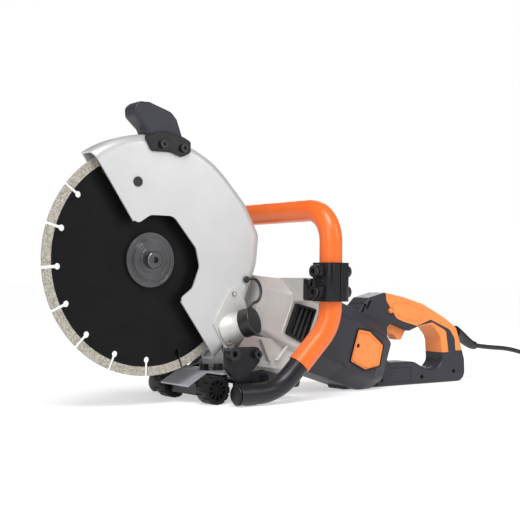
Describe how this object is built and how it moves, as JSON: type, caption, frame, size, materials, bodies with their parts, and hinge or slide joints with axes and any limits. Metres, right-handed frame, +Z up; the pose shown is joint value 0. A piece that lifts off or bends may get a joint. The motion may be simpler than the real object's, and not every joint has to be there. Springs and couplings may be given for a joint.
{
  "type": "rescue saw",
  "caption": "Mains-electric disc cutter with a swinging guard over a slotted diamond blade, a wrap-round tube handle, a rear D-handle and two small wheels.",
  "frame": {"origin": "middle of the footprint of the machine, without its cord, on the surface that it stands on", "axes": "+X towards the rear handle, +Y towards the side of the gearbox cover, +Z up"},
  "size_m": [1.1312, 0.3335, 0.3917],
  "materials": {
    "blade_black": "satin",
    "diamond_segment": "rough",
    "bright_steel": "satin",
    "flange_steel": "satin",
    "casting_grey": "cast matt",
    "black_plastic": "matt",
    "black_steel": "black oxide",
    "dark_plastic": "fine texture",
    "motor_iron": "bare",
    "copper": "bare",
    "orange_plastic": "satin",
    "orange_rubber": "satin",
    "black_rubber": "matt",
    "tube_black": "satin",
    "clamp_black": "textured",
    "plate_grey": "satin",
    "plate_light": "satin",
    "wheel_rubber": "matt",
    "guard_silver": "satin silver paint",
    "cord_rubber": "matt",
    "pin_brass": "nickel plated"
  },
  "bodies": {
    "machine": {"gearbox_housing": "casting_grey", "vent_grilles": "black_plastic", "guard_retainer": "bright_steel", "gearbox_cover": "casting_grey", "casting_screws": "black_steel", "ball_bearings": "bright_steel", "motor_housing": "dark_plastic", "field_stator": "motor_iron", "grip_cover": "orange_plastic", "grip_lining": "orange_plastic", "rear_housing_near": "dark_plastic", "rear_housing_far": "dark_plastic", "housing_screws": "black_steel", "brush_covers": "orange_plastic", "brush_gear": "copper", "blank_label_plate": "black_plastic", "trigger_pin": "bright_steel", "switch_module": "black_plastic", "strain_relief": "black_rubber", "front_handle_tube": "tube_black", "handle_sleeves": "orange_rubber", "clamp_jaws": "clamp_black", "handle_arms": "clamp_black", "clamp_bolts": "black_steel", "base_bracket_near": "clamp_black", "base_bracket_far": "clamp_black", "base_plate": "plate_grey", "base_bolts": "black_steel", "axle_carrier": "plate_light", "wheel_axle": "bright_steel", "cord_lead": "cord_rubber", "cord_coil": "cord_rubber", "cord_tail": "cord_rubber", "mains_plug": "cord_rubber", "plug_pins": "pin_brass"},
    "guard": {"guard_shell": "guard_silver", "guard_back_plate": "guard_silver", "guard_fixings": "black_steel", "guard_plug": "black_rubber", "guard_lever": "dark_plastic", "lever_bracket": "clamp_black", "dust_chute": "casting_grey", "dust_port_cap": "black_rubber", "cap_strap": "black_rubber"},
    "blade": {"blade_core": "blade_black", "blade_segments": "diamond_segment", "spindle": "bright_steel", "blade_flanges": "flange_steel", "blade_bolt": "flange_steel", "driven_gear": "bright_steel"},
    "armature": {"pinion_shaft": "bright_steel", "motor_shaft": "bright_steel", "armature_core": "motor_iron", "commutator": "copper", "cooling_fan": "black_plastic"},
    "wheel_near": {"wheel_near": "wheel_rubber"},
    "wheel_far": {"wheel_far": "wheel_rubber"},
    "trigger": {"trigger": "orange_plastic"},
    "lock_off": {"lock_off_button": "orange_plastic"},
    "spindle_lock": {"spindle_lock_button": "black_plastic"}
  },
  "joints": [
    {"name": "guard_swing", "type": "hinge", "parent": "machine", "child": "guard", "pos_m": [-0.25973, -0.032, 0.1892], "axis": [0, -1, 0], "range_deg": [0, 30]},
    {"name": "blade_spin", "type": "hinge", "parent": "machine", "child": "blade", "pos_m": [-0.25973, -0.032, 0.1892], "axis": [0, 1, 0], "continuous": true},
    {"name": "armature_spin", "type": "hinge", "parent": "machine", "child": "armature", "pos_m": [-0.25973, 0, 0.1892], "axis": [0.9426, 0, -0.3338], "continuous": true},
    {"name": "wheel_near_spin", "type": "hinge", "parent": "machine", "child": "wheel_near", "pos_m": [-0.17573, -0.06, 0.0189], "axis": [0, 1, 0], "continuous": true},
    {"name": "wheel_far_spin", "type": "hinge", "parent": "machine", "child": "wheel_far", "pos_m": [-0.17573, 0.043, 0.0189], "axis": [0, 1, 0], "continuous": true},
    {"name": "trigger_pull", "type": "hinge", "parent": "machine", "child": "trigger", "pos_m": [0.22827, 0, 0.0932], "axis": [0, 1, 0], "range_deg": [0, 6], "stiffness_Nm_per_rad": 1.5, "springref_deg": -5.73},
    {"name": "lock_off_push", "type": "slide", "parent": "machine", "child": "lock_off", "axis": [0, 1, 0], "range_m": [0, 0.004], "stiffness_N_per_m": 500, "springref_m": -0.003},
    {"name": "spindle_lock_push", "type": "slide", "parent": "machine", "child": "spindle_lock", "axis": [0, 0, -1], "range_m": [0, 0.0025], "stiffness_N_per_m": 1200, "springref_m": -0.004}
  ],
  "couplings": [
    {"joint": "armature_spin", "follows": "blade_spin", "ratio": -4}
  ]
}
